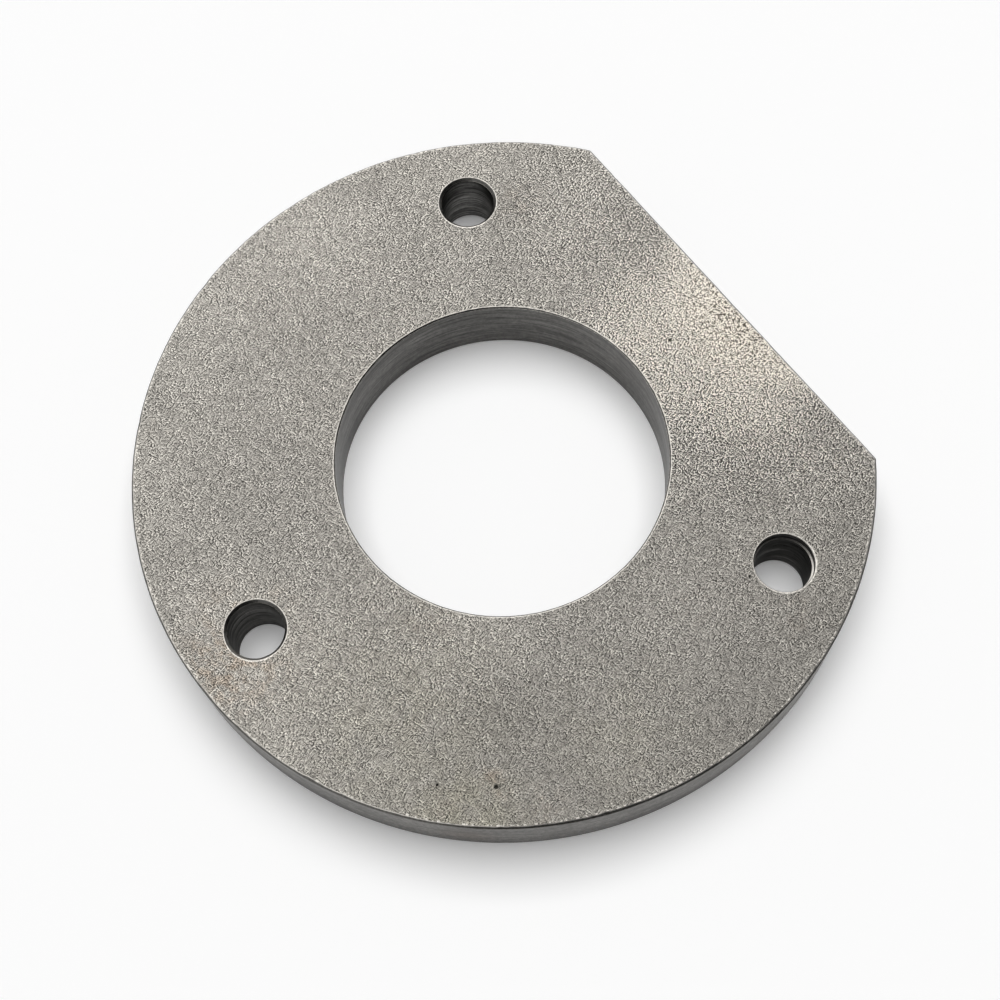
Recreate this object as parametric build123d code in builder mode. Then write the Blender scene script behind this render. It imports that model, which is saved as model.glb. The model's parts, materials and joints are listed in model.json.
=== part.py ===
from build123d import *

import math
import os

# A round steel shim plate: a bore in the middle, three bolt holes around it,
# and one side of the disc cut to a flat, opposite one of the holes.
# Sizes are in millimetres. The origin is the bore's centre on the lower face,
# +Z runs up along the bore, and the flat faces +Y.

# Plate
outer_diameter = 127.0
thickness = 12.7
flat_depth = 13.5  # how far the flat is cut in from the round edge

# Bore
bore_diameter = 57.15

# Bolt holes, evenly spaced from one that lies straight opposite the flat
bolt_hole_count = 3
bolt_hole_diameter = 9.525
bolt_edge_distance = 12.7  # from a hole's centre to the round edge
first_bolt_hole_angle = -90

# The next bolt hole round, to the right of the flat, is opened out at the top.
# That leaves a narrow ledge inside its mouth, where the others have a chamfer.
ledge_width = 0.29
ledge_depth = 1.7

# Broken edges, the same on the upper and the lower face
rim_chamfer = 0.4
bore_chamfer = 0.25
bolt_hole_chamfer = 0.5
ledge_mouth_chamfer = 0.12
face_corner_radius = 0.4  # where the flat meets the round edge, on the face

outer_radius = outer_diameter / 2
flat_offset = outer_radius - flat_depth
flat_corner_angle = math.degrees(math.asin(flat_offset / outer_radius))
bolt_circle_radius = outer_radius - bolt_edge_distance
ledge_hole_angle = first_bolt_hole_angle + 360 / bolt_hole_count
ledge_hole_mouth = Vector(bolt_circle_radius, 0, thickness).rotate(Axis.Z, ledge_hole_angle)

with BuildPart() as shim_plate:
    # The outline is one long arc, from the flat's left end round to its right
    # end, closed by the flat itself.
    with BuildSketch():
        with BuildLine():
            rim = CenterArc((0, 0), outer_radius, 180 - flat_corner_angle, 180 + 2 * flat_corner_angle)
            Line(rim @ 1, rim @ 0)
        outline = make_face()
        # The wall's corner is rounder than the face's by the chamfer between them.
        fillet(outline.vertices(), radius=face_corner_radius + rim_chamfer)
    extrude(amount=thickness)
    chamfer(edges().group_by(Axis.Z)[0] + edges().group_by(Axis.Z)[-1], length=rim_chamfer)

    Hole(radius=bore_diameter / 2)
    chamfer(edges(Select.LAST).filter_by(GeomType.CIRCLE), length=bore_chamfer)

    # Every hole's two edges are chamfered, apart from the mouth above the ledge.
    with PolarLocations(bolt_circle_radius, bolt_hole_count, start_angle=first_bolt_hole_angle):
        Hole(radius=bolt_hole_diameter / 2)
    hole_edges = edges(Select.LAST).filter_by(GeomType.CIRCLE)
    chamfer(hole_edges.sort_by_distance(ledge_hole_mouth)[1:], length=bolt_hole_chamfer)

    with Locations(ledge_hole_mouth):
        Hole(radius=bolt_hole_diameter / 2 + ledge_width, depth=ledge_depth)
    chamfer(edges(Select.LAST).filter_by(GeomType.CIRCLE).sort_by(Axis.Z)[-1], length=ledge_mouth_chamfer)

shim_plate.part.label = "shim_plate"

os.makedirs("parts", exist_ok=True)
export_step(shim_plate.part, "parts/shim_plate.step")
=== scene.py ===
import json
import math

import bpy
import numpy as np
from mathutils import Matrix, Vector


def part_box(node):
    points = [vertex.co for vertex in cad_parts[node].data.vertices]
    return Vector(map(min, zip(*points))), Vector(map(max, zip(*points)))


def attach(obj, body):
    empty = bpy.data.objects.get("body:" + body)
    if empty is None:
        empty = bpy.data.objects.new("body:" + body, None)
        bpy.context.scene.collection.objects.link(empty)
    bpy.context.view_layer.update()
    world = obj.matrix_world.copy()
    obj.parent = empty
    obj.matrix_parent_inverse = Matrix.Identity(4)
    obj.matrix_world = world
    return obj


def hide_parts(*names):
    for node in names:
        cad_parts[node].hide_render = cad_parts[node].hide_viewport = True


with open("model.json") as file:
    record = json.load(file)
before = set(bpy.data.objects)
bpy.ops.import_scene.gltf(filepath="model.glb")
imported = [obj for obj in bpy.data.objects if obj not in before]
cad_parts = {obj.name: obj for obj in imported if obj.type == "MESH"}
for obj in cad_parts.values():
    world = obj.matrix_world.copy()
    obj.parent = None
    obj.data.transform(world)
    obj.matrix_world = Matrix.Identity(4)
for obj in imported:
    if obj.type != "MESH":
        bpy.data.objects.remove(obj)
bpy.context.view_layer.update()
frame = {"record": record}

# A thick round steel shim plate lying on a white floor. Sizes are in millimetres
# until a mesh is made, and angles are in degrees, counter-clockwise from +X.

MM = 0.001
PLATE_LOW, PLATE_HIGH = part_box("shim_plate")
MOUNT_SIZES = {mount["name"]: mount["dims"] for mount in frame["record"]["mounts"]}

THICKNESS = PLATE_HIGH.z / MM
RIM_RADIUS = min(PLATE_HIGH.x, -PLATE_LOW.x, -PLATE_LOW.y) / MM
FLAT_OFFSET = PLATE_HIGH.y / MM
CORNER_RADIUS = 0.8  # of the wall, where the flat meets the round edge
BORE_RADIUS = MOUNT_SIZES["bore"]["r_mm"]
HOLE_RADIUS = MOUNT_SIZES["bolt_circle"]["hole_r_mm"]
HOLE_CIRCLE_RADIUS = MOUNT_SIZES["bolt_circle"]["pcd_mm"] / 2
LEDGE_HOLE_ANGLE = 30.0
HOLE_ANGLES = (-90.0, LEDGE_HOLE_ANGLE, 150.0)

RIM_CHAMFER = 0.4
BORE_CHAMFER = 0.25
HOLE_CHAMFER = 0.5
LEDGE_WIDTH = 0.29
LEDGE_DEPTH = 1.7
LEDGE_MOUTH_CHAMFER = 0.12

EDGE_SOFTNESS = 0.05  # how far a broken edge is rounded each side of its corner
LARGEST_ROUNDING = 0.22  # of the shorter side that meets in the corner
FACE_BORDER = 0.32  # of face that belongs to an edge's profile
UPPER_EDGE_REACH = 1.0  # how far down from the face the rows of the upper edge lie, at most

# The width of an edge that was broken by hand, round a loop
WAVES_ROUND = (3, 7, 11, 19, 31, 53, 83)  # how often each wave goes round
WAVE_SHARE = 0.055
NICKS_ROUND = 24
NICK_SHARE = 0.30
NICK_LENGTH = 0.0016  # of the loop
RIM_SEED, BORE_SEED, FIRST_HOLE_SEED = 11, 5, 40
DRILLED_SHARE = 0.12  # of that unevenness is left where a hole's mouth was cut with a drill

# The plate's zones, in the order of its material slots
FACE, EDGE, RIM, BORE, DRILLED = range(5)


# Profiles and loops


def unit(v):
    return v / np.linalg.norm(v)


def unit_rows(v):
    return v / np.linalg.norm(v, axis=1, keepdims=True)


def softened(corners, zones):
    """A profile with its inner corners rounded. Each one becomes a short parabola between a point before and
    a point after it, with one more point further out on each side, so that what lies between stays flat.
    Gives the rows (depth, height), the distance of each from the nearest corner, and the zone of each
    strip."""
    corners = np.asarray(corners, float)
    rows, strips = [corners[0]], []
    for j in range(1, len(corners) - 1):
        before, corner, after = corners[j - 1 : j + 2]
        shorter = min(np.linalg.norm(before - corner), np.linalg.norm(after - corner))
        cut = min(EDGE_SOFTNESS, LARGEST_ROUNDING * shorter)
        back, on = unit(before - corner) * cut, unit(after - corner) * cut
        rows += [corner + 2 * back, corner + back, corner + (back + on) / 4, corner + on, corner + 2 * on]
        strips += [zones[j - 1]] * 3 + [zones[j]] * 2
    rows.append(corners[-1])
    strips.append(zones[-1])
    rows = np.array(rows)
    length = np.r_[0, np.cumsum(np.linalg.norm(np.diff(rows, axis=0), axis=1))]
    inner = [np.argmin(np.linalg.norm(rows - c, axis=1)) for c in corners[1:-1]]
    distance = np.abs(length[:, None] - length[inner][None]).min(axis=1)
    return rows, distance, np.array(strips)


def edge_profile(chamfer, wall):
    """Depth into the plate and height, from the upper face down a wall to the lower face, with both edges
    broken by the same chamfer."""
    top = THICKNESS
    corners = [
        (chamfer + FACE_BORDER, top), (chamfer, top), (0, top - chamfer),
        (0, chamfer), (chamfer, 0), (chamfer + FACE_BORDER, 0),
    ]
    return softened(corners, [FACE, EDGE, wall, EDGE, FACE])


def ledge_profile():
    """A drilled hole's wall as edge_profile gives it, with the mouth opened out down to a narrow ledge."""
    top, mouth = THICKNESS, LEDGE_WIDTH + LEDGE_MOUTH_CHAMFER
    corners = [
        (mouth + FACE_BORDER, top), (mouth, top), (LEDGE_WIDTH, top - LEDGE_MOUTH_CHAMFER),
        (LEDGE_WIDTH, top - LEDGE_DEPTH), (0, top - LEDGE_DEPTH),
        (0, HOLE_CHAMFER), (HOLE_CHAMFER, 0), (HOLE_CHAMFER + FACE_BORDER, 0),
    ]
    return softened(corners, [FACE, EDGE, DRILLED, EDGE, DRILLED, EDGE, FACE])


def outline(arc_steps=480, corner_steps=8, flat_steps=132):
    """Stations round the outline, counter-clockwise from the flat's left end, and their outward normals: a
    long arc about the bore, a small corner arc tangent to it and to the flat, the flat, and the other corner
    arc."""
    inner = RIM_RADIUS - CORNER_RADIUS
    rise = FLAT_OFFSET - CORNER_RADIUS
    corner = np.array([math.sqrt(inner**2 - rise**2), rise])
    start = math.atan2(rise, corner[0])
    around = np.linspace(math.pi - start, 2 * math.pi + start, arc_steps + 1)
    turn = np.linspace(start, math.pi / 2, corner_steps + 1)
    across = np.linspace(corner[0], -corner[0], flat_steps + 1)[1:-1]

    def direction(angle):
        return np.stack([np.cos(angle), np.sin(angle)], axis=1)

    right, left = direction(turn[1:]), direction(math.pi - turn[::-1][:-1])
    normals = np.concatenate([direction(around), right, np.tile([0.0, 1.0], (len(across), 1)), left])
    points = np.concatenate([
        RIM_RADIUS * direction(around),
        corner + CORNER_RADIUS * right,
        np.stack([across, np.full(len(across), FLAT_OFFSET)], axis=1),
        corner * (-1, 1) + CORNER_RADIUS * left,
    ])
    return points, normals


def share_along(loop):
    """How far round a closed loop each of its points lies, from 0 to 1."""
    along = np.r_[0, np.cumsum(np.linalg.norm(np.diff(loop, axis=0), axis=1))]
    return along / (along[-1] + np.linalg.norm(loop[0] - loop[-1]))


def unevenness(along, seed):
    """A hand-broken edge's width round a loop, about 1: the sum of sine waves of several lengths, and a few
    short nicks, each a bell curve. along runs from 0 to 1 round the loop."""
    rng = np.random.default_rng(seed)
    waves = sum(
        rng.uniform(0.3, 1) * np.sin(2 * math.pi * (count * along + rng.uniform())) for count in WAVES_ROUND
    )
    nicks = sum(
        rng.uniform(0.5, 1) * np.exp(-(((along - at + 0.5) % 1 - 0.5) / NICK_LENGTH) ** 2)
        for at in rng.uniform(size=NICKS_ROUND)
    )
    return 1 + WAVE_SHARE * waves + NICK_SHARE * nicks


# Surfaces


class Surface:
    """Grids of points that are welded into one closed mesh."""

    def __init__(self):
        self.points, self.near, self.quads, self.zones = [], [], [], []
        self.count = 0

    def add(self, grid, near, zone, flip=False, closed=True):
        """A grid of points, stations by rows. near is each point's distance from an edge, and zone is one
        number, or one for each strip between two rows."""
        stations, rows = grid.shape[:2]
        index = np.arange(stations * rows).reshape(stations, rows) + self.count
        if closed:
            index = np.concatenate([index, index[:1]])
        quads = np.stack([index[:-1, :-1], index[:-1, 1:], index[1:, 1:], index[1:, :-1]], axis=-1)
        zones = np.broadcast_to(np.asarray(zone), quads.shape[:2])
        quads = quads.reshape(-1, 4)
        self.points.append(grid.reshape(-1, 3))
        self.near.append(np.broadcast_to(near, (stations, rows)).reshape(-1))
        self.quads.append(quads[:, ::-1] if flip else quads)
        self.zones.append(zones.reshape(-1))
        self.count += stations * rows

    def mesh(self, name):
        """Welds points that are the same to a hundred-thousandth of a millimetre and makes the mesh, smooth
        shaded."""
        points, near = np.concatenate(self.points), np.concatenate(self.near)
        quads, zones = np.concatenate(self.quads), np.concatenate(self.zones)
        _, first, back = np.unique(np.round(points, 5), axis=0, return_index=True, return_inverse=True)
        quads = back.reshape(-1)[quads]
        mesh = bpy.data.meshes.new(name)
        mesh.from_pydata((points[first] * MM).tolist(), [], quads.tolist())
        mesh.polygons.foreach_set("material_index", zones.astype(np.int32))
        mesh.polygons.foreach_set("use_smooth", np.ones(len(quads), bool))
        edge = mesh.attributes.new("from_edge", "FLOAT", "POINT")
        edge.data.foreach_set("value", near[first].astype(np.float32))
        mesh.update()
        return mesh


def swept(base, inward, profile, width):
    """A profile carried round a loop: a row's depth is measured inward from the wall, into the plate, and its
    height is up. The upper broken edge is as many times wider as width says for each station."""
    rows, near, strips = profile
    upper = rows[:, 1] > THICKNESS - UPPER_EDGE_REACH
    share = np.where(upper, np.clip((rows[0, 0] - rows[:, 0]) / FACE_BORDER, 0, 1), 0)
    depth = rows[:, 0] * (1 + share * (width[:, None] - 1))
    height = THICKNESS - (THICKNESS - rows[:, 1]) * np.where(upper, width[:, None], 1)
    flat = base[:, None] + inward[:, None] * depth[:, :, None]
    return np.concatenate([flat, height[:, :, None]], axis=2), near, strips


def graded(count, power=1.6):
    """Steps from 0 to 1, closer together at both ends."""
    t = np.linspace(-1, 1, count + 1)
    return (1 + np.sign(t) * (1 - (1 - np.abs(t)) ** power)) / 2


def ruled(inner, outer, steps):
    """Straight lines between the matching points of two loops, divided at the given steps from 0 to 1."""
    grid = inner[:, None] + (outer - inner)[:, None] * steps[None, :, None]
    grid[:, 0], grid[:, -1] = inner, outer
    return grid


def hole_centre(angle):
    return HOLE_CIRCLE_RADIUS * np.array([math.cos(math.radians(angle)), math.sin(math.radians(angle))])


def face_distance(xy):
    """How far a point of a face is from its nearest edge."""
    reach = np.hypot(xy[..., 0], xy[..., 1])
    gaps = [
        reach - BORE_RADIUS - BORE_CHAMFER,
        RIM_RADIUS - RIM_CHAMFER - reach,
        FLAT_OFFSET - RIM_CHAMFER - xy[..., 1],
    ]
    for angle in HOLE_ANGLES:
        opened = LEDGE_WIDTH + LEDGE_MOUTH_CHAMFER if angle == LEDGE_HOLE_ANGLE else HOLE_CHAMFER
        gaps.append(np.linalg.norm(xy - hole_centre(angle), axis=-1) - HOLE_RADIUS - opened)
    return np.clip(np.min(gaps, axis=0), 0, None)


def block(polar, angle, half):
    """The stations of a block of the face's grid that reaches `half` each side of an angle."""
    stations = len(polar)

    def nearest(target):
        turned = (polar - math.radians(target) + math.pi) % (2 * math.pi) - math.pi
        return int(np.argmin(np.abs(turned)))

    start = nearest(angle - half)
    span = (nearest(angle + half) - start) % stations
    return (start + np.arange(span + 1)) % stations


def block_border(face, columns):
    """The points round a block of the face's grid: out along its first station, along the outline, in along
    its last station and back along the bore."""
    return np.concatenate([
        face[columns[0], :-1],
        face[columns[:-1], -1],
        face[columns[-1], :0:-1],
        face[columns[:0:-1], 0],
    ])


def hole_wall(angle, border, seed):
    """A bolt hole's wall, with a station that faces each point of the border round it."""
    centre = hole_centre(angle)
    away = unit_rows(border[:, :2] - centre)
    turned = (np.arctan2(away[:, 1], away[:, 0]) / (2 * math.pi)) % 1
    width = 1 + DRILLED_SHARE * (unevenness(turned, seed) - 1)
    profile = ledge_profile() if angle == LEDGE_HOLE_ANGLE else edge_profile(HOLE_CHAMFER, DRILLED)
    return swept(centre + HOLE_RADIUS * away, away, profile, width)


def runs(kept):
    """The stations of each unbroken run of kept steps round a closed loop. A run may pass the loop's end."""
    for start in np.where(kept & ~np.roll(kept, 1))[0]:
        length = int(np.argmin(np.roll(kept, -start)))
        yield np.arange(start, start + length + 1) % len(kept)


def plate_mesh(rows=24, hole_rings=10, ring_power=1.3, block_half_angle=30):
    """The plate's whole skin. Each face is a ruled grid between the bore's edge and the outline. Round each
    bolt hole, a block of that grid gives way to rings that blend from the hole's circle out to the block's
    border."""
    surface = Surface()
    outer, normals = outline()
    polar = np.arctan2(outer[:, 1], outer[:, 0])
    bore = BORE_RADIUS * np.stack([np.cos(polar), np.sin(polar)], axis=1)
    along = share_along(outer)

    rim_profile, bore_profile = edge_profile(RIM_CHAMFER, RIM), edge_profile(BORE_CHAMFER, BORE)
    rim, near, strips = swept(outer, -normals, rim_profile, unevenness(along, RIM_SEED))
    surface.add(rim, near, strips)
    bore_wall, near, strips = swept(bore, unit_rows(bore), bore_profile, unevenness(along, BORE_SEED))
    surface.add(bore_wall, near, strips, flip=True)

    # The upper face lies between the first rows of the walls, and the lower one between the last
    for row, flip in ((0, False), (-1, True)):
        face = ruled(bore_wall[:, row], rim[:, row], graded(rows))
        kept = np.ones(len(outer), bool)
        for seed, angle in enumerate(HOLE_ANGLES, start=FIRST_HOLE_SEED):
            columns = block(polar, angle, block_half_angle)
            kept[columns[:-1]] = False
            border = block_border(face, columns)
            wall, near, strips = hole_wall(angle, border, seed)
            if row == 0:
                surface.add(wall, near, strips, flip=True)
            rings = ruled(wall[:, row], border, graded(hole_rings, ring_power))
            surface.add(rings, face_distance(rings[..., :2]), FACE, flip=flip)
        for columns in runs(kept):
            part = face[columns]
            surface.add(part, face_distance(part[..., :2]), FACE, flip=flip, closed=False)
    return surface.mesh("shim_plate_skin")


# Materials


class Nodes:
    """Short ways to add shader nodes to one material. Sockets and numbers may be mixed as inputs."""

    def __init__(self, name):
        self.material = bpy.data.materials.new(name)
        self.material.use_nodes = True
        self.tree = self.material.node_tree
        self.shader = self.tree.nodes["Principled BSDF"]
        self.position = self.new("ShaderNodeTexCoord").outputs["Object"]

    def new(self, kind, **settings):
        node = self.tree.nodes.new(kind)
        for key, value in settings.items():
            setattr(node, key, value)
        return node

    def put(self, socket, value):
        if isinstance(value, bpy.types.NodeSocket):
            self.tree.links.new(value, socket)
        else:
            socket.default_value = value

    def math(self, operation, *values):
        node = self.new("ShaderNodeMath", operation=operation)
        for socket, value in zip(node.inputs, values):
            self.put(socket, value)
        return node.outputs[0]

    def plus(self, a, b):
        return self.math("ADD", a, b)

    def minus(self, a, b):
        return self.math("SUBTRACT", a, b)

    def times(self, a, b):
        return self.math("MULTIPLY", a, b)

    def times_plus(self, a, b, c):
        """a times b, plus c."""
        return self.math("MULTIPLY_ADD", a, b, c)

    def power(self, a, b):
        return self.math("POWER", a, b)

    def larger(self, a, b):
        return self.math("MAXIMUM", a, b)

    def smaller(self, a, b):
        return self.math("MINIMUM", a, b)

    def absolute(self, a):
        return self.math("ABSOLUTE", a)

    def total(self, *shares):
        """The sum of several values, each times its share."""
        result = 0.0
        for value, share in shares:
            result = self.times_plus(value, share, result)
        return result

    def spread(self, value, source, target=(0.0, 1.0), smooth=True):
        """A value's range from `source` spread over `target`, and held at its ends."""
        node = self.new("ShaderNodeMapRange", interpolation_type="SMOOTHSTEP" if smooth else "LINEAR")
        for socket, v in zip(node.inputs, (value, *source, *target)):
            self.put(socket, v)
        return node.outputs[0]

    def squeezed(self, scale):
        """The point with each coordinate scaled, which draws a pattern out along the axes that shrink."""
        node = self.new("ShaderNodeMapping")
        self.put(node.inputs["Vector"], self.position)
        node.inputs["Scale"].default_value = scale
        return node.outputs[0]

    def noise(self, size, detail=2.0, roughness=0.5, squeeze=None):
        """Noise whose features are about `size` millimetres across, and longer along a squeezed axis."""
        node = self.new("ShaderNodeTexNoise", noise_dimensions="3D", noise_type="FBM")
        self.put(node.inputs["Vector"], self.squeezed(squeeze) if squeeze else self.position)
        node.inputs["Scale"].default_value = 1 / (size * MM)
        node.inputs["Detail"].default_value = detail
        node.inputs["Roughness"].default_value = roughness
        return node.outputs["Fac"]

    def grain(self, size, turn=0.0, shift=(0.0, 0.0)):
        """Smooth noise across the plate's faces, alike at every height. It is turned and shifted, in degrees
        and millimetres, so that layers of it don't line up."""
        mapping = self.new("ShaderNodeMapping")
        self.put(mapping.inputs["Vector"], self.position)
        mapping.inputs["Location"].default_value = (shift[0] * MM, shift[1] * MM, 0)
        mapping.inputs["Rotation"].default_value = (0, 0, math.radians(turn))
        node = self.new("ShaderNodeTexNoise", noise_dimensions="2D", noise_type="FBM")
        self.put(node.inputs["Vector"], mapping.outputs[0])
        node.inputs["Scale"].default_value = 1 / (size * MM)
        node.inputs["Detail"].default_value = 0.0
        return node.outputs["Fac"]

    def crawl(self, size, turn=0.0, shift=(0.0, 0.0), width=0.10):
        """Worm-like ridges: 1 where the grain passes its middle value, falling to 0 a little to each side."""
        away = self.absolute(self.minus(self.grain(size, turn, shift), 0.5))
        return self.spread(away, (0.0, width), (1.0, 0.0), smooth=False)

    def lit_crawl(self, size, turn, facing, step=0.23, shift=(130.0, 90.0)):
        """The same ridges with one flank bright and the other dark: the ridges less a copy that is moved by
        `step` millimetres in the direction `facing`."""
        way = math.radians(facing + turn)
        there = (shift[0] + step * math.cos(way), shift[1] + step * math.sin(way))
        return self.minus(self.crawl(size, turn, shift), self.crawl(size, turn, there))

    def spot(self, centre, radius):
        """1 at a point of the plate, fading to 0 at a radius, both in millimetres."""
        node = self.new("ShaderNodeVectorMath", operation="DISTANCE")
        self.put(node.inputs[0], self.position)
        node.inputs[1].default_value = [v * MM for v in centre]
        return self.spread(node.outputs["Value"], (0.0, radius * MM), (1.0, 0.0))

    def stained(self, spots):
        """The strongest of several spots anywhere: centre with its height, radius and strength."""
        result = 0.0
        for centre, radius, strength in spots:
            result = self.larger(self.times(self.spot(centre, radius), strength), result)
        return result

    def marks(self, spots):
        """The strongest of several spots on the upper face."""
        return self.stained([((*centre, THICKNESS), radius, strength) for centre, radius, strength in spots])

    def from_edge(self):
        """Distance from the nearest edge of the face or wall, in millimetres."""
        return self.new("ShaderNodeAttribute", attribute_name="from_edge").outputs["Fac"]

    def along(self, axis):
        """One coordinate of the point, in metres."""
        split = self.new("ShaderNodeSeparateXYZ")
        self.put(split.inputs[0], self.position)
        return split.outputs[axis]

    def outer(self):
        """1 near the plate's outline, and 0 near the bore and the bolt holes."""
        x, y = self.along("X"), self.along("Y")
        reach = self.times_plus(x, x, self.times(y, y))
        near_rim = self.math("GREATER_THAN", reach, (NEAR_RIM_RADIUS * MM) ** 2)
        return self.larger(near_rim, self.math("GREATER_THAN", y, NEAR_FLAT_OFFSET * MM))

    def mixed(self, amount, low, high):
        """A colour between two, each a colour or a socket."""
        node = self.new("ShaderNodeMix", data_type="RGBA")
        self.put(node.inputs["Factor"], amount)
        for socket, colour in ((node.inputs[6], low), (node.inputs[7], high)):
            self.put(socket, colour if isinstance(colour, bpy.types.NodeSocket) else (*colour, 1))
        return node.outputs[2]

    def scaled(self, colour, factor):
        """A colour made brighter or darker by a factor."""
        node = self.new("ShaderNodeVectorMath", operation="SCALE")
        self.put(node.inputs[0], colour)
        self.put(node.inputs["Scale"], factor)
        return node.outputs[0]

    def steel(self, colour, roughness, relief, depth):
        """Finishes the material as bare metal, with a relief whose height of 1 stands `depth` millimetres
        proud."""
        bump = self.new("ShaderNodeBump")
        bump.inputs["Strength"].default_value = 1.0
        bump.inputs["Distance"].default_value = depth * MM
        self.put(bump.inputs["Height"], relief)
        self.put(self.shader.inputs["Base Color"], colour)
        self.put(self.shader.inputs["Roughness"], roughness)
        self.put(self.shader.inputs["Normal"], bump.outputs["Normal"])
        self.shader.inputs["Metallic"].default_value = 1.0
        return self.material


# Past these, a point of the face or of an edge belongs to the outline
NEAR_RIM_RADIUS = 59.0
NEAR_FLAT_OFFSET = 48.5

STEEL = (0.31, 0.295, 0.268)
RUST = (0.29, 0.228, 0.172)
YELLOWED = (0.306, 0.289, 0.232)
RUBBED_AND_GLINTING = (0.81, 0.775, 0.715)  # rubbed edges, and the painted highlights on them
MOUTH_EDGE = (0.11, 0.107, 0.10)
OUTLINE_EDGE = (0.100, 0.097, 0.090)
RIM_STEEL = (0.156, 0.150, 0.140)
RIM_BROWN = (0.135, 0.108, 0.088)
BORE_STEEL = (0.113, 0.110, 0.104)
DRILLED_STEEL = (0.138, 0.136, 0.131)
OIL = (0.022, 0.022, 0.021)

# The painted highlight by the flat: a warm, cream-coloured patch on the grey scale
HIGHLIGHT_CREAM = (0.85, 0.790, 0.692)
HOLLOW_BROWN = (0.78, 0.64, 0.48)  # the hollows there
DOTTED = (0.13, 0.108, 0.085)  # dark specks of scale there
HIGHLIGHT_LIFT = 1.15  # how far the ridges' tone is lifted there
HIGHLIGHT_GAIN = 1.8  # how much brighter it then gets
LIGHTEST = 0.85  # the red of the brightest spot

RELIEF_MIDDLE = 0.705  # the middle value of the face's relief
DARKEST_RIDGE = 0.15
DARKEST_TONE = 0.12

# Marks on the upper face: centre, radius and strength, in millimetres
STAINS = (
    ((2.0, -57.0), 13.0, 0.80), ((-6.0, -52.0), 8.0, 0.35), ((-1.5, -45.0), 5.0, 0.3),
    ((16.0, -27.0), 7.0, 0.2), ((43.4, -34.8), 3.0, 0.5), ((46.2, -34.6), 2.0, 0.6),
    ((43.0, -45.0), 9.0, 0.12), ((52.0, -31.0), 6.0, 0.2), ((-38.0, 33.0), 7.0, 0.2),
    ((52.0, 21.0), 6.0, 0.2), ((4.0, 47.0), 7.0, 0.3),
)
YELLOW_STAINS = (((46.0, -42.0), 16.0, 0.7), ((28.0, -40.0), 30.0, 0.35), ((50.0, -14.0), 20.0, 0.25))
PITS = (
    ((44.8, -35.0), 0.55, 1.0), ((38.9, -42.2), 0.38, 1.0), ((0.4, 36.6), 0.5, 1.0),
    ((42.4, 19.3), 0.5, 0.5), ((45.1, -34.5), 0.5, 0.4), ((-20.0, 41.0), 0.4, 0.5),
    ((-52.0, -4.0), 0.4, 0.5), ((25.0, -48.0), 0.4, 0.4),
)
# Spots of painted highlight: the warm one by the flat, and a faint one by the opposite edge
HIGHLIGHT_SPOTS = (
    ((4.5, 52.5), 22.0, 1.1), ((1.0, 38.0), 22.0, 0.22), ((14.0, 42.0), 16.0, 0.25),
    ((-9.0, 50.0), 10.0, 0.30), ((15.0, 50.0), 12.0, 0.50), ((5.0, -54.0), 20.0, 0.07),
)
# Soft clouds that are lighter or darker than the face round them
LIGHTER = (
    ((20.0, -57.0), 9.0, 0.17), ((23.0, -21.0), 12.0, 0.13), ((-33.0, -52.0), 14.0, 0.13),
    ((-51.0, 31.0), 12.0, 0.13), ((-52.0, -1.0), 18.0, 0.15), ((-57.0, -13.0), 12.0, 0.14),
    ((-56.0, -25.0), 15.0, 0.12), ((-9.0, -54.0), 13.0, 0.10), ((20.0, -33.0), 13.0, 0.09),
    ((24.0, -50.0), 16.0, 0.11), ((-47.0, -34.0), 10.0, 0.08), ((-31.0, 39.0), 8.0, 0.07),
)
DARKER = (
    ((57.0, 7.0), 14.0, 0.12), ((56.0, 25.0), 11.0, 0.14), ((-41.0, 6.0), 12.0, 0.04),
    ((-17.0, -26.0), 12.0, 0.09), ((-18.0, 46.0), 9.0, 0.06), ((40.0, -26.0), 16.0, 0.10),
    ((52.0, -34.0), 9.0, 0.08), ((-39.0, 31.0), 9.0, 0.13), ((-27.0, -36.0), 10.0, 0.06),
    ((26.0, 32.0), 10.0, 0.08), ((48.0, 40.0), 12.0, 0.08), ((56.0, -24.0), 12.0, 0.06),
)
# Where the ridges stand out more, and where they stand out less than elsewhere
# The largest coarse patch, by the flat, lies over the painted highlight: its louder ridges are painted glints
COARSE_PATCHES = (
    ((7.0, 44.0), 38.0, 2.4), ((-25.0, 46.0), 28.0, 0.9),
    ((31.0, 46.0), 22.0, 0.8), ((-37.0, 17.0), 34.0, 0.2),
)
FINE_PATCHES = (((54.0, -34.0), 30.0, 0.32), ((62.0, 6.0), 24.0, 0.25), ((36.0, -52.0), 22.0, 0.2))
# Marks on the rim and inside the ledged hole: centre with its height, radius and strength
RIM_STAINS = (((47.0, -42.7, 6.0), 7.0, 0.55),)
OILED = (((43.994, 25.4, 6.35), 16.0, 0.85),)
# Painted highlights on edges that face the light: the ledge, and one side of each hole's mouth
GLINT_SPOTS = (
    ((47.0, 29.5, 11.0), 6.0, 1.0), ((3.9, -53.8, 12.7), 6.0, 0.9),
    ((-40.1, 22.4, 12.7), 5.0, 0.6), ((47.9, 22.4, 12.7), 5.0, 0.8),
)


def face_relief(n):
    """Two sizes of lit ridges that cross each other, with a finer crawl and a grit over them."""
    return n.total(
        (n.lit_crawl(0.95, turn=23, facing=65), 0.42),
        (n.lit_crawl(0.72, turn=130, facing=155), 0.40),
        (n.crawl(0.55, turn=80, shift=(260, 180), width=0.07), 0.28),
        (n.grain(0.17, turn=37, shift=(390, 270)), 1.25),
    )


def painted_highlight(n):
    """How strong the painted highlight is: about 1 in the middle of the warm patch by the flat, and less,
    unevenly, towards its border."""
    return n.times(n.marks(HIGHLIGHT_SPOTS), n.spread(n.noise(6.0, detail=3.0), (0.30, 0.60), (0.82, 1.0)))


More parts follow.
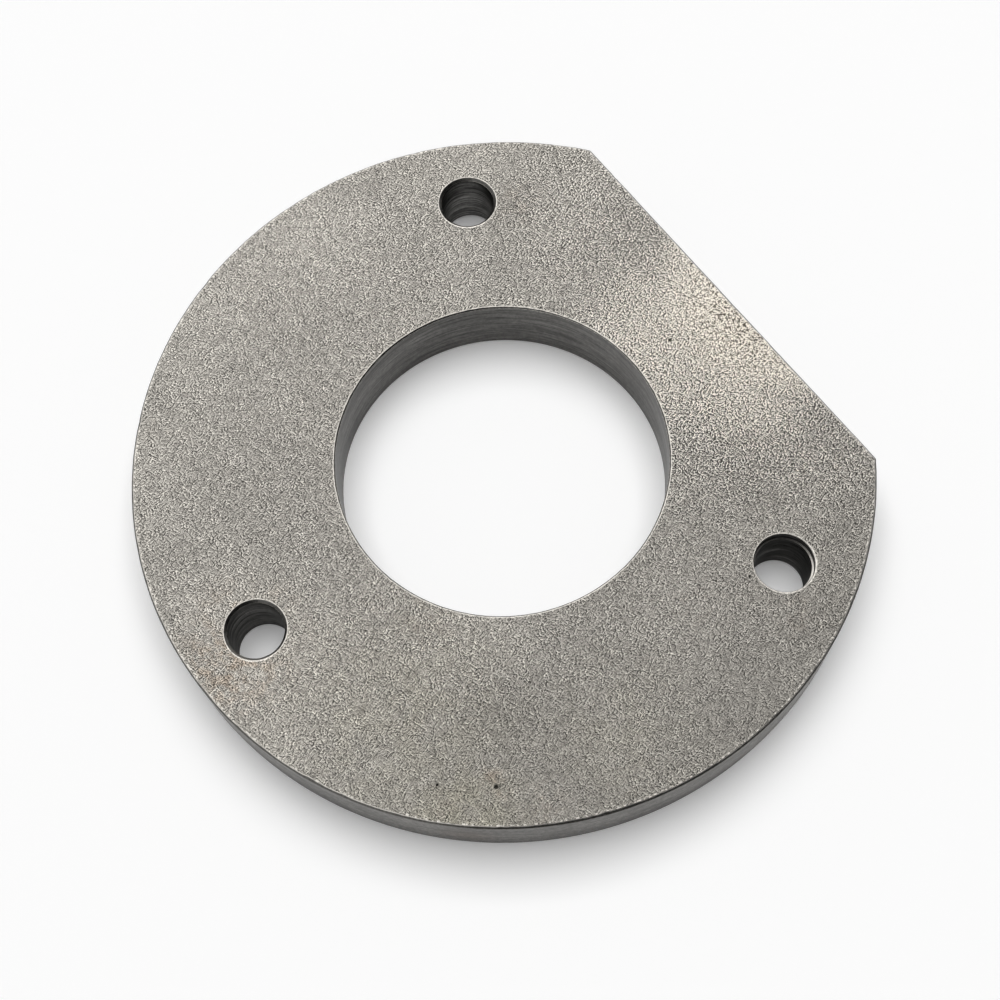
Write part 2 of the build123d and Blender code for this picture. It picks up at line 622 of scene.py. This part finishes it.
def raised_ridges(n, relief, highlight, coarse):
    """The ridges' tone, about 0: the relief made louder in places, its peaks above all, and louder and lifted
    in the painted highlight, where the loud ridges paint its glints.
    """
    loudness = n.spread(n.noise(2.4, detail=2.0, roughness=0.6), (0.34, 0.66), (1.04, 1.64))
    loudness = n.times(loudness, n.spread(highlight, (0.0, 1.0), (1.0, 1.5), smooth=False))
    loudness = n.times(loudness, n.plus(coarse, 1.0))
    ridge = n.times(n.minus(relief, RELIEF_MIDDLE), loudness)
    ridge = n.times_plus(n.times(ridge, 0.35), n.absolute(ridge), ridge)
    return n.times_plus(highlight, HIGHLIGHT_LIFT, ridge)


def face_tone(n, ridge, highlight, coarse):
    """What the face's colour is multiplied by: the ridges' tone, times slow clouds and a speckle, and
    brighter in the painted highlight, but never so bright that the metal would look white."""
    cloud = n.spread(n.noise(11.0, detail=3.0, roughness=0.55), (0.3, 0.7), (0.96, 1.06))
    cloud = n.plus(cloud, n.minus(n.marks(LIGHTER), n.marks(DARKER)))
    speckle = n.spread(n.noise(1.4, detail=3.0, roughness=0.8), (0.3, 0.7), (0.69, 1.31), smooth=False)
    tone = n.times(n.larger(n.plus(ridge, 1.0), DARKEST_RIDGE), n.times(cloud, speckle))
    tone = n.power(tone, n.times_plus(coarse, 0.15, 1.0))
    tone = n.times(tone, n.spread(highlight, (0.0, 1.0), (1.0, HIGHLIGHT_GAIN), smooth=False))
    red = n.spread(highlight, (0.0, 1.0), (STEEL[0], HIGHLIGHT_CREAM[0]), smooth=False)
    return n.smaller(n.larger(tone, DARKEST_TONE), n.math("DIVIDE", LIGHTEST, red))


def tinted_steel(n):
    """Grey steel, yellowed in places, with rust in the stains and faintly elsewhere, where it is mottled."""
    mottled = n.spread(n.noise(2.6, detail=4.0, roughness=0.65), (0.42, 0.66))
    faint = n.spread(n.noise(12.0, detail=4.0, roughness=0.6), (0.56, 0.78), (0.0, 0.15))
    rust = n.times(n.larger(n.marks(STAINS), faint), mottled)
    yellow = n.times(n.marks(YELLOW_STAINS), n.spread(n.noise(4.0, detail=3.0), (0.35, 0.6), (0.4, 1.0)))
    return n.mixed(rust, n.mixed(yellow, STEEL, YELLOWED), RUST)


def highlight_colour(n, colour, tone, highlight):
    """The colour inside the painted highlight: cream on the ridges, brown in the hollows, and dark specks on
    both."""
    brown = n.times(n.power(highlight, 0.6), n.spread(tone, (0.2, 1.0), (0.9, 0.0)))
    colour = n.mixed(n.times(highlight, 0.95), colour, n.mixed(brown, HIGHLIGHT_CREAM, HOLLOW_BROWN))
    specks = n.spread(n.grain(0.54, turn=20, shift=(570, 340)), (0.33, 0.40), (0.95, 0.0))
    return n.mixed(n.times(specks, n.power(highlight, 0.7)), colour, DOTTED)


def border_wear_and_glint(n):
    """How brightly the face's border is rubbed: an uneven line round the bore and the holes, widened by
    painted highlights at the glint spots, and only specks along the outline."""
    nicks = n.noise(0.55, detail=1.0)
    # painted highlight: the rubbed line widens where the glint spots lie
    near = n.times_plus(n.stained(GLINT_SPOTS), -0.14, n.from_edge())
    mouth = n.times(n.spread(near, (0.03, 0.21), (1.0, 0.0)), n.spread(nicks, (0.34, 0.52), (0.4, 1.0)))
    specks = n.spread(nicks, (0.52, 0.60), (0.0, 0.9))
    fringe = n.times(n.spread(n.from_edge(), (0.10, 0.40), (1.0, 0.0)), specks)
    return n.times_plus(n.minus(fringe, mouth), n.outer(), mouth)


def rolled_face():
    """Matt grey scaled steel: a dense crawl of tiny ridges, soft clouds of tone, faint rust and yellow, a few
    pits, and a painted warm highlight by the flat."""
    n = Nodes("rolled_steel_face")
    relief = face_relief(n)
    # painted highlight: the warm patch by the flat, brighter, cream in colour and a little smoother
    highlight = painted_highlight(n)
    coarse = n.minus(n.marks(COARSE_PATCHES), n.marks(FINE_PATCHES))
    ridge = raised_ridges(n, relief, highlight, coarse)
    tone = face_tone(n, ridge, highlight, coarse)
    colour = n.scaled(highlight_colour(n, tinted_steel(n), tone, highlight), tone)
    colour = n.mixed(border_wear_and_glint(n), colour, RUBBED_AND_GLINTING)
    pit = n.marks(PITS)
    colour = n.scaled(colour, n.spread(pit, (0.05, 0.50), (1.0, 0.08), smooth=False))
    roughness = n.minus(n.spread(ridge, (-1.0, 1.0), (0.54, 0.44), smooth=False), n.times(highlight, 0.05))
    return n.steel(colour, roughness, n.minus(relief, n.times(pit, 1.5)), depth=0.03)


def broken_edge():
    """The narrow chamfers: dark round the outline, brighter in the mouths, with the very corners rubbed
    bright, painted highlights on the ledge and on one side of each hole's mouth, and a thin bright line where
    the outline's chamfer meets the upper face."""
    n = Nodes("broken_steel_edge")
    scuff = n.noise(0.5, detail=3.0, roughness=0.6)
    outer = n.outer()
    corner = n.spread(n.from_edge(), (0.02, 0.08), (1.0, 0.0))
    rub_and_glint = n.times(corner, n.spread(scuff, (0.38, 0.58), (0.5, 1.0)))
    rub_and_glint = n.times(rub_and_glint, n.minus(1.0, n.times(outer, 0.85)))
    from_ledge = n.absolute(n.minus(n.along("Z"), (THICKNESS - LEDGE_DEPTH) * MM))
    not_ledge = n.minus(1.0, n.math("LESS_THAN", from_ledge, 0.3 * MM))
    # painted highlights on the ledge and on the lit side of each hole's mouth
    rub_and_glint = n.larger(n.times(rub_and_glint, not_ledge), n.stained(GLINT_SPOTS))
    crest = n.spread(n.along("Z"), ((THICKNESS - 0.17) * MM, (THICKNESS - 0.05) * MM))
    crest = n.times(n.times(crest, outer), n.spread(scuff, (0.32, 0.52), (0.5, 0.9)))
    rub_and_glint = n.larger(rub_and_glint, crest)
    colour = n.scaled(n.mixed(outer, MOUTH_EDGE, OUTLINE_EDGE), n.spread(scuff, (0.3, 0.7), (0.75, 1.25)))
    return n.steel(n.mixed(rub_and_glint, colour, RUBBED_AND_GLINTING), 0.33, scuff, depth=0.03)


def turned_wall(
    name, colour, contrast, roughness, stains=(), stained=RUST, smears=0.0, grain=0.2, foot_shade=1.0, sheen=1.0
):
    """A wall cut on a lathe or drilled: fine lines that run round it, uneven in tone, with painted shade
    towards its foot, and stained in places, evenly or in smears. The less its sheen, the darker it stays
    where it is seen at a flat angle."""
    n = Nodes(name)
    n.shader.inputs["Specular Tint"].default_value = (sheen, sheen, sheen, 1)
    line = n.noise(0.35, detail=3.0, roughness=0.65, squeeze=(0.035, 0.035, 1.0))
    band = n.noise(2.2, squeeze=(0.12, 0.12, 1.0))
    blotch = n.noise(7.0, detail=3.0, roughness=0.6)
    fine = n.noise(0.8, detail=3.0, roughness=0.7)
    lines = n.spread(line, (0.34, 0.66), (1 - contrast, 1 + contrast), smooth=False)
    tone = n.times(lines, n.spread(band, (0.3, 0.7), (0.8, 1.2)))
    tone = n.times(tone, n.spread(blotch, (0.3, 0.7), (0.9, 1.08)))
    tone = n.times(tone, n.spread(fine, (0.3, 0.7), (1 - grain, 1 + grain)))
    # painted shade: the wall darkens towards its foot
    tone = n.times(tone, n.spread(n.along("Z"), (0.0, 0.35 * THICKNESS * MM), (foot_shade, 1.0)))
    stain = n.times(n.stained(stains), n.spread(band, (0.46, 0.54), (1.0, 1 - smears)))
    return n.steel(n.scaled(n.mixed(stain, colour, stained), tone), roughness, line, depth=0.02)


def turned_rim():
    """The round edge and the flat: even and grainy, with painted shade towards the foot, and one brown stain.
    """
    return turned_wall(
        "turned_steel_rim", RIM_STEEL, 0.12, 0.45, stains=RIM_STAINS, stained=RIM_BROWN, grain=0.36, foot_shade=0.7
    )


def bored_wall():
    """The bore: clear lines from the boring tool."""
    return turned_wall("bored_steel_wall", BORE_STEEL, 0.45, 0.42)


def drilled_wall():
    """The bolt holes: strong lines from the drill, and old oil smeared in the ledged one."""
    return turned_wall(
        "drilled_steel_wall", DRILLED_STEEL, 0.85, 0.38, stains=OILED, stained=OIL, smears=0.95, sheen=0.4
    )


def placed(name, data):
    """A new object in the scene, at the origin."""
    obj = bpy.data.objects.new(name, data)
    bpy.context.scene.collection.objects.link(obj)
    return obj


def plate():
    """The shim plate: one closed skin with a material for each way that its surfaces were made."""
    mesh = plate_mesh()
    for material in (rolled_face(), broken_edge(), turned_rim(), bored_wall(), drilled_wall()):
        mesh.materials.append(material)
    obj = placed("shim_plate_surface", mesh)
    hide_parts("shim_plate")
    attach(obj, "root")


# Studio

EYE = Vector((0.09169, -0.06060, 0.26727))
AIM = Vector((0.00629, -0.00515, 0.01270))
CAMERA_ROLL = -4.367
LENS = 58.454
SENSOR_WIDTH = 36
NEAREST_VIEW = 0.005  # metres

WHITE = (1, 1, 1, 1)


def camera():
    data = bpy.data.cameras.new("camera")
    data.lens = LENS
    data.sensor_width = SENSOR_WIDTH
    data.clip_start = NEAREST_VIEW
    obj = placed("camera", data)
    look = (AIM - EYE).to_track_quat("-Z", "Y").to_matrix()
    roll = Matrix.Rotation(math.radians(CAMERA_ROLL), 3, "Z")
    obj.matrix_world = Matrix.Translation(EYE) @ (look @ roll).to_4x4()
    bpy.context.scene.camera = obj


def plain_material(name, grey, roughness):
    """A matt grey that is the same all over. Gives the material and its shader."""
    material = bpy.data.materials.new(name)
    material.use_nodes = True
    shader = material.node_tree.nodes["Principled BSDF"]
    shader.inputs["Base Color"].default_value = (grey, grey, grey, 1)
    shader.inputs["Roughness"].default_value = roughness
    return material, shader


def shows_white(tree):
    """1 for the rays that should see the white studio: from the camera, off metal and through glass."""
    path = tree.nodes.new("ShaderNodeLightPath")
    total = path.outputs["Is Camera Ray"]
    for name in ("Is Glossy Ray", "Is Transmission Ray"):
        either = tree.nodes.new("ShaderNodeMath")
        either.operation = "MAXIMUM"
        tree.links.new(total, either.inputs[0])
        tree.links.new(path.outputs[name], either.inputs[1])
        total = either.outputs[0]
    return total


def floor(size=3.0, drop=0.00005, grey=0.93, glow=0.14):
    """The white floor: it takes the light and the shadow, and what looks at it also sees it a little
    lighter."""
    mesh = bpy.data.meshes.new("floor")
    h = size / 2
    mesh.from_pydata([(-h, -h, -drop), (h, -h, -drop), (h, h, -drop), (-h, h, -drop)], [], [(0, 1, 2, 3)])
    obj = placed("floor", mesh)
    material, shader = plain_material("white_studio_floor", grey, 0.9)
    tree = material.node_tree
    shader.inputs["Specular IOR Level"].default_value = 0.0
    shader.inputs["Emission Color"].default_value = WHITE
    amount = tree.nodes.new("ShaderNodeMath")
    amount.operation = "MULTIPLY"
    amount.inputs[1].default_value = glow
    tree.links.new(shows_white(tree), amount.inputs[0])
    tree.links.new(amount.outputs[0], shader.inputs["Emission Strength"])
    mesh.materials.append(material)


def softbox(name, azimuth, elevation, distance, size, light, shines=True, lights=True):
    """A square lamp aimed at the plate. light is how much it adds on a white surface that lies flat under it.
    One that doesn't light is seen by the metal alone, and one that doesn't shine only by the floor."""
    a, e = math.radians(azimuth), math.radians(elevation)
    place = distance * Vector((math.cos(a) * math.cos(e), math.sin(a) * math.cos(e), math.sin(e)))
    data = bpy.data.lights.new(name, "AREA")
    data.shape = "SQUARE"
    data.size = size
    data.energy = light * (math.pi * distance) ** 2 / math.sin(e)
    obj = placed(name, data)
    obj.matrix_world = Matrix.Translation(place) @ (-place).to_track_quat("-Z", "Y").to_matrix().to_4x4()
    obj.visible_glossy = shines
    obj.visible_diffuse = lights


def dark_card(azimuth=15, distance=1.1, width=4.4, low=0.0, high=1.1, grey=0.03):
    """A dark card on the camera's side of the room, which only the metal sees: it keeps edges that face it
    dark."""
    a = math.radians(azimuth)
    ahead = Vector((math.cos(a), math.sin(a), 0)) * distance
    side = Vector((-math.sin(a), math.cos(a), 0)) * width / 2
    corners = [ahead - side, ahead + side, ahead + side, ahead - side]
    mesh = bpy.data.meshes.new("dark_card")
    mesh.from_pydata([(c.x, c.y, z) for c, z in zip(corners, (low, low, high, high))], [], [(0, 1, 2, 3)])
    obj = placed("dark_card", mesh)
    material, _ = plain_material("dark_card", grey, 1.0)
    mesh.materials.append(material)
    obj.visible_camera = obj.visible_diffuse = obj.visible_shadow = False


def studio_world(fill=0.14, horizon=0.97, ceiling=0.72):
    """A white room with a greyer ceiling. What looks at it sees it as it is; as light it is dimmer."""
    world = bpy.data.worlds.new("white_studio")
    bpy.context.scene.world = world
    world.use_nodes = True
    tree = world.node_tree
    background = tree.nodes["Background"]
    background.inputs["Color"].default_value = WHITE
    split = tree.nodes.new("ShaderNodeSeparateXYZ")
    tree.links.new(tree.nodes.new("ShaderNodeTexCoord").outputs["Generated"], split.inputs[0])
    up = tree.nodes.new("ShaderNodeMapRange")
    up.interpolation_type = "SMOOTHSTEP"
    tree.links.new(split.outputs["Z"], up.inputs["Value"])
    for socket, value in (("From Min", 0.25), ("From Max", 0.75), ("To Min", horizon), ("To Max", ceiling)):
        up.inputs[socket].default_value = value
    level = tree.nodes.new("ShaderNodeMix")
    tree.links.new(shows_white(tree), level.inputs["Factor"])
    level.inputs["A"].default_value = fill
    tree.links.new(up.outputs[0], level.inputs["B"])
    tree.links.new(level.outputs["Result"], background.inputs["Strength"])


plate()
floor()
camera()
studio_world()
softbox("back_softbox", azimuth=164, elevation=52, distance=2.0, size=1.44, light=0.26, lights=False)
softbox("top_softbox", azimuth=148, elevation=74, distance=10.0, size=8.80, light=0.947, shines=False)
dark_card()
bpy.context.scene.view_settings.view_transform = "Standard"
